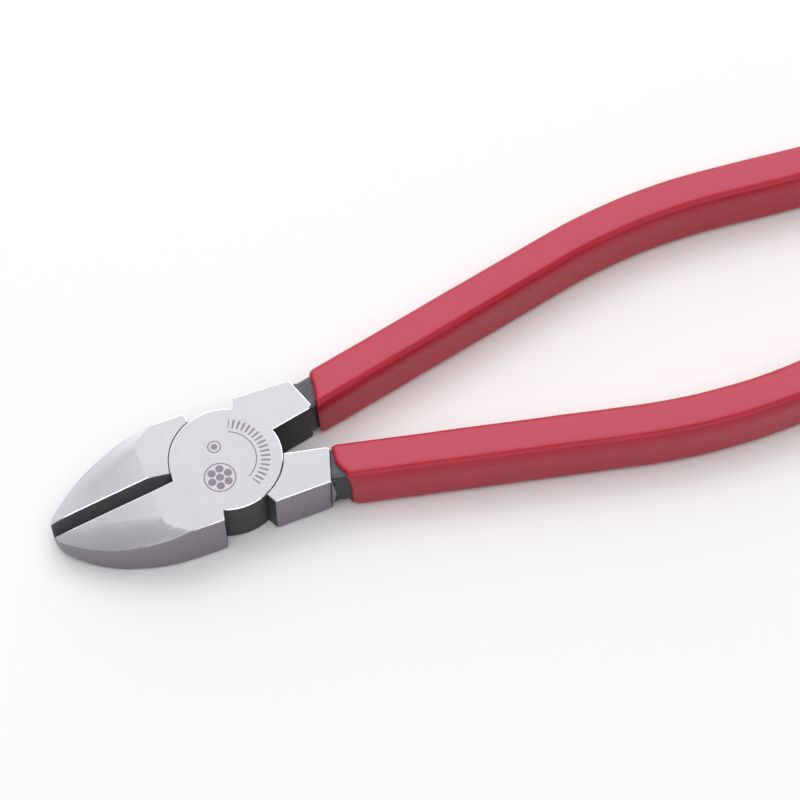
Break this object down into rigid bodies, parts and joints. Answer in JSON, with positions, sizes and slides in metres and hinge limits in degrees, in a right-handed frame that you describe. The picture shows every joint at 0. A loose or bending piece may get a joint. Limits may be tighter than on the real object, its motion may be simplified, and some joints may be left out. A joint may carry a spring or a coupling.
{
  "type": "diagonal cutting pliers",
  "caption": "Diagonal cutting pliers with a lapped and riveted joint, sloped jaws with a V groove, and dipped red vinyl grips on bowed handles.",
  "frame": {"origin": "on the pivot axis, at the rear face of the riveted joint", "axes": "+X from the pivot to the handle ends, with the jaws at -X; +Y towards the handle of the front half; +Z out of the polished front face"},
  "size_m": [0.1834, 0.0558, 0.0121],
  "materials": {
    "forged_steel": "fine satin grain on the front, rear and outer faces; black oxide left in the joint, the groove and on the tangs",
    "grip_vinyl": "semi-gloss dipped red vinyl"
  },
  "bodies": {
    "front_lever": {"front_half": "forged_steel", "pivot_rivet": "forged_steel", "front_half_grip": "grip_vinyl"},
    "rear_lever": {"rear_half": "forged_steel", "rear_half_grip": "grip_vinyl"}
  },
  "joints": [
    {"name": "jaw_opening", "type": "hinge", "parent": "front_lever", "child": "rear_lever", "pos_m": [0, 0, 0], "axis": [0, 0, -1], "range_deg": [0, 44]}
  ]
}
